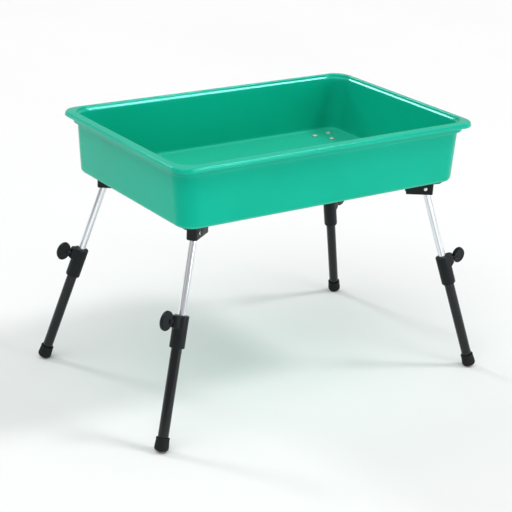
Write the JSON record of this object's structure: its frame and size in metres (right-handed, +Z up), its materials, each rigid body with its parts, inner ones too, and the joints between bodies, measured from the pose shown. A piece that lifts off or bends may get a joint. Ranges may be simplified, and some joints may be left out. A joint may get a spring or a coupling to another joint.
{
  "type": "folding fishing table",
  "caption": "Moulded bait tub on splayed telescopic legs that fold inward under it and lock with clamp knobs.",
  "frame": {"origin": "on the ground, under the middle of the tub", "axes": "+X along the tub's long side to the right, +Y to the back, +Z up"},
  "size_m": [0.698, 0.4432, 0.478],
  "materials": {
    "green_plastic": "smooth moulded sea-green plastic with a soft gloss",
    "black_plastic": "satin moulded black nylon",
    "black_coating": "satin black coating on aluminium tube",
    "rubber": "matt black rubber",
    "aluminium": "bright drawn and anodised aluminium tube",
    "steel": "bright zinc-plated steel"
  },
  "bodies": {
    "table_top": {"tub": "green_plastic", "front_left_bracket": "black_plastic", "front_left_pivot_pin": "steel", "front_left_rivet_1": "steel", "front_left_rivet_2": "steel", "front_left_rivet_3": "steel", "front_right_bracket": "black_plastic", "front_right_pivot_pin": "steel", "front_right_rivet_1": "steel", "front_right_rivet_2": "steel", "front_right_rivet_3": "steel", "back_left_bracket": "black_plastic", "back_left_pivot_pin": "steel", "back_left_rivet_1": "steel", "back_left_rivet_2": "steel", "back_left_rivet_3": "steel", "back_right_bracket": "black_plastic", "back_right_pivot_pin": "steel", "back_right_rivet_1": "steel", "back_right_rivet_2": "steel", "back_right_rivet_3": "steel"},
    "front_left_upper_leg": {"front_left_knuckle": "black_plastic", "front_left_inner_tube": "aluminium", "front_left_guide_bush": "black_plastic"},
    "front_left_lower_leg": {"front_left_outer_tube": "black_coating", "front_left_collar": "black_plastic", "front_left_clamp_nut": "steel", "front_left_foot": "rubber"},
    "front_left_clamp": {"front_left_clamp_screw": "steel", "front_left_knob": "black_plastic"},
    "front_right_upper_leg": {"front_right_knuckle": "black_plastic", "front_right_inner_tube": "aluminium", "front_right_guide_bush": "black_plastic"},
    "front_right_lower_leg": {"front_right_outer_tube": "black_coating", "front_right_collar": "black_plastic", "front_right_clamp_nut": "steel", "front_right_foot": "rubber"},
    "front_right_clamp": {"front_right_clamp_screw": "steel", "front_right_knob": "black_plastic"},
    "back_left_upper_leg": {"back_left_knuckle": "black_plastic", "back_left_inner_tube": "aluminium", "back_left_guide_bush": "black_plastic"},
    "back_left_lower_leg": {"back_left_outer_tube": "black_coating", "back_left_collar": "black_plastic", "back_left_clamp_nut": "steel", "back_left_foot": "rubber"},
    "back_left_clamp": {"back_left_clamp_screw": "steel", "back_left_knob": "black_plastic"},
    "back_right_upper_leg": {"back_right_knuckle": "black_plastic", "back_right_inner_tube": "aluminium", "back_right_guide_bush": "black_plastic"},
    "back_right_lower_leg": {"back_right_outer_tube": "black_coating", "back_right_collar": "black_plastic", "back_right_clamp_nut": "steel", "back_right_foot": "rubber"},
    "back_right_clamp": {"back_right_clamp_screw": "steel", "back_right_knob": "black_plastic"}
  },
  "joints": [
    {"name": "front_left_fold", "type": "hinge", "parent": "table_top", "child": "front_left_upper_leg", "pos_m": [-0.245, -0.1475, 0.349], "axis": [0.5592, -0.829, 0], "range_deg": [0, 108]},
    {"name": "front_left_extend", "type": "slide", "parent": "front_left_upper_leg", "child": "front_left_lower_leg", "axis": [0.2562, 0.1728, 0.9511], "range_m": [-0.06, 0.1]},
    {"name": "front_left_clamp_turn", "type": "hinge", "parent": "front_left_lower_leg", "child": "front_left_clamp", "pos_m": [-0.28292, -0.17307, 0.20824], "axis": [-0.9477, -0.1486, 0.2823], "continuous": true},
    {"name": "front_right_fold", "type": "hinge", "parent": "table_top", "child": "front_right_upper_leg", "pos_m": [0.245, -0.1475, 0.349], "axis": [0.5592, 0.829, 0], "range_deg": [0, 108]},
    {"name": "front_right_extend", "type": "slide", "parent": "front_right_upper_leg", "child": "front_right_lower_leg", "axis": [-0.2562, 0.1728, 0.9511], "range_m": [-0.06, 0.1]},
    {"name": "front_right_clamp_turn", "type": "hinge", "parent": "front_right_lower_leg", "child": "front_right_clamp", "pos_m": [0.28292, -0.17307, 0.20824], "axis": [0.9477, -0.1486, 0.2823], "continuous": true},
    {"name": "back_left_fold", "type": "hinge", "parent": "table_top", "child": "back_left_upper_leg", "pos_m": [-0.245, 0.1475, 0.349], "axis": [-0.5592, -0.829, 0], "range_deg": [0, 102]},
    {"name": "back_left_extend", "type": "slide", "parent": "back_left_upper_leg", "child": "back_left_lower_leg", "axis": [0.2562, -0.1728, 0.9511], "range_m": [-0.06, 0.1]},
    {"name": "back_left_clamp_turn", "type": "hinge", "parent": "back_left_lower_leg", "child": "back_left_clamp", "pos_m": [-0.28292, 0.17307, 0.20824], "axis": [-0.9477, 0.1486, 0.2823], "continuous": true},
    {"name": "back_right_fold", "type": "hinge", "parent": "table_top", "child": "back_right_upper_leg", "pos_m": [0.245, 0.1475, 0.349], "axis": [-0.5592, 0.829, 0], "range_deg": [0, 102]},
    {"name": "back_right_extend", "type": "slide", "parent": "back_right_upper_leg", "child": "back_right_lower_leg", "axis": [-0.2562, -0.1728, 0.9511], "range_m": [-0.06, 0.1]},
    {"name": "back_right_clamp_turn", "type": "hinge", "parent": "back_right_lower_leg", "child": "back_right_clamp", "pos_m": [0.28292, 0.17307, 0.20824], "axis": [0.9477, 0.1486, 0.2823], "continuous": true}
  ]
}
